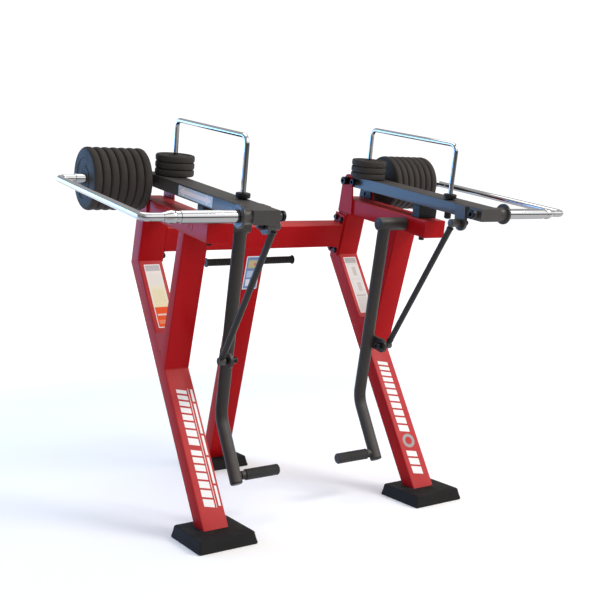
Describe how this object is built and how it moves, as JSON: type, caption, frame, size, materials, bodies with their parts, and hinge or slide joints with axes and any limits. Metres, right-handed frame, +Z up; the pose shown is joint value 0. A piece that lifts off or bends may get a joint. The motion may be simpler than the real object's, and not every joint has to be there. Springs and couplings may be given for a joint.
{
  "type": "standing hip abduction machine",
  "caption": "Plate-loaded standing leg machine: a red frame with swinging foot levers linked by rods to pivoting weight arms carrying captive plates.",
  "frame": {"origin": "middle of the footprint, on the floor", "axes": "+X across the machine, towards the side that is on the right in the picture, +Y towards the rear leg, +Z up"},
  "size_m": [1.7722, 1.406, 1.4969],
  "materials": {
    "red_frame": "satin red powder coat",
    "black_steel": "satin black powder coat",
    "rubber": "matt moulded",
    "black_plastic": "moulded, fine grain",
    "chrome": "polished",
    "black_fastener": "black oxide",
    "bright_steel": "ground",
    "bronze": "turned"
  },
  "bodies": {
    "frame": {"crossbeam": "red_frame", "rear_leg": "red_frame", "foot_left": "black_plastic", "foot_right": "black_plastic", "foot_rear": "black_plastic", "handle_bar": "black_steel", "frame_leg_left": "red_frame", "frame_rear_post_left": "red_frame", "frame_front_post_left": "red_frame", "frame_top_beam_left": "red_frame", "crossbeam_bolts_left": "black_fastener", "handle_grip_left": "rubber", "arm_pivot_bolt_left": "black_fastener", "lever_shaft_left": "bright_steel", "bracket_pad_left": "black_plastic", "arm_bumper_left": "rubber", "bumper_bolt_left": "black_fastener", "frame_leg_right": "red_frame", "frame_rear_post_right": "red_frame", "frame_front_post_right": "red_frame", "frame_top_beam_right": "red_frame", "crossbeam_bolts_right": "black_fastener", "handle_grip_right": "rubber", "arm_pivot_bolt_right": "black_fastener", "lever_shaft_right": "bright_steel", "bracket_pad_right": "black_plastic", "arm_bumper_right": "rubber", "bumper_bolt_right": "black_fastener"},
    "lever_left": {"lever_left": "black_steel", "lever_bush_left": "bronze", "lug_bolt_left": "black_fastener"},
    "roller_left": {"foot_roller_left": "rubber"},
    "rod_left": {"link_rod_left": "black_steel"},
    "arm_left": {"weight_arm_left": "black_steel", "tab_bolt_left": "black_fastener", "load_sleeve_left": "chrome", "plate_pin_left": "chrome", "sleeve_bolt_front_left": "black_fastener", "sleeve_bolt_rear_left": "black_fastener", "u_bar_left": "chrome", "lock_handle_left": "chrome", "lock_knob_left": "black_plastic"},
    "stack_left": {"big_plates_left": "rubber"},
    "small_stack_left": {"small_plates_left": "rubber"},
    "lever_right": {"lever_right": "black_steel", "lever_bush_right": "bronze", "lug_bolt_right": "black_fastener"},
    "roller_right": {"foot_roller_right": "rubber"},
    "rod_right": {"link_rod_right": "black_steel"},
    "arm_right": {"weight_arm_right": "black_steel", "tab_bolt_right": "black_fastener", "load_sleeve_right": "chrome", "plate_pin_right": "chrome", "sleeve_bolt_front_right": "black_fastener", "sleeve_bolt_rear_right": "black_fastener", "u_bar_right": "chrome", "lock_handle_right": "chrome", "lock_knob_right": "black_plastic"},
    "stack_right": {"big_plates_right": "rubber"},
    "small_stack_right": {"small_plates_right": "rubber"}
  },
  "joints": [
    {"name": "lever_swing_left", "type": "hinge", "parent": "frame", "child": "lever_left", "pos_m": [-0.36, -0.257, 1.1065], "axis": [-1, 0, 0], "range_deg": [0, 40]},
    {"name": "arm_lift_left", "type": "hinge", "parent": "frame", "child": "arm_left", "pos_m": [-0.472, 0.12, 1.2838], "axis": [-1, 0, 0], "range_deg": [0, 16.3]},
    {"name": "rod_turn_left", "type": "hinge", "parent": "lever_left", "child": "rod_left", "pos_m": [-0.3805, -0.208, 0.6172], "axis": [-1, 0, 0], "range_deg": [-9, 0]},
    {"name": "roller_spin_left", "type": "hinge", "parent": "lever_left", "child": "roller_left", "pos_m": [-0.2086, -0.2, 0.1797], "axis": [1, 0, 0], "continuous": true},
    {"name": "stack_slide_left", "type": "slide", "parent": "arm_left", "child": "stack_left", "axis": [-1, 0, 0], "range_m": [0, 0.03]},
    {"name": "small_stack_lift_left", "type": "slide", "parent": "arm_left", "child": "small_stack_left", "axis": [0, -0.1719, 0.9851], "range_m": [0, 0.09]},
    {"name": "lever_swing_right", "type": "hinge", "parent": "frame", "child": "lever_right", "pos_m": [0.36, -0.257, 1.1065], "axis": [-1, 0, 0], "range_deg": [0, 40]},
    {"name": "arm_lift_right", "type": "hinge", "parent": "frame", "child": "arm_right", "pos_m": [0.472, 0.12, 1.2838], "axis": [-1, 0, 0], "range_deg": [0, 16.3]},
    {"name": "rod_turn_right", "type": "hinge", "parent": "lever_right", "child": "rod_right", "pos_m": [0.3805, -0.208, 0.6172], "axis": [-1, 0, 0], "range_deg": [-9, 0]},
    {"name": "roller_spin_right", "type": "hinge", "parent": "lever_right", "child": "roller_right", "pos_m": [0.2086, -0.2, 0.1797], "axis": [1, 0, 0], "continuous": true},
    {"name": "stack_slide_right", "type": "slide", "parent": "arm_right", "child": "stack_right", "axis": [1, 0, 0], "range_m": [0, 0.03]},
    {"name": "small_stack_lift_right", "type": "slide", "parent": "arm_right", "child": "small_stack_right", "axis": [0, -0.1719, 0.9851], "range_m": [0, 0.09]}
  ],
  "couplings": [
    {"joint": "arm_lift_left", "follows": "lever_swing_left", "ratio": 0.4053},
    {"joint": "rod_turn_left", "follows": "lever_swing_left", "ratio": -0.2186},
    {"joint": "arm_lift_right", "follows": "lever_swing_right", "ratio": 0.4053},
    {"joint": "rod_turn_right", "follows": "lever_swing_right", "ratio": -0.2186}
  ]
}
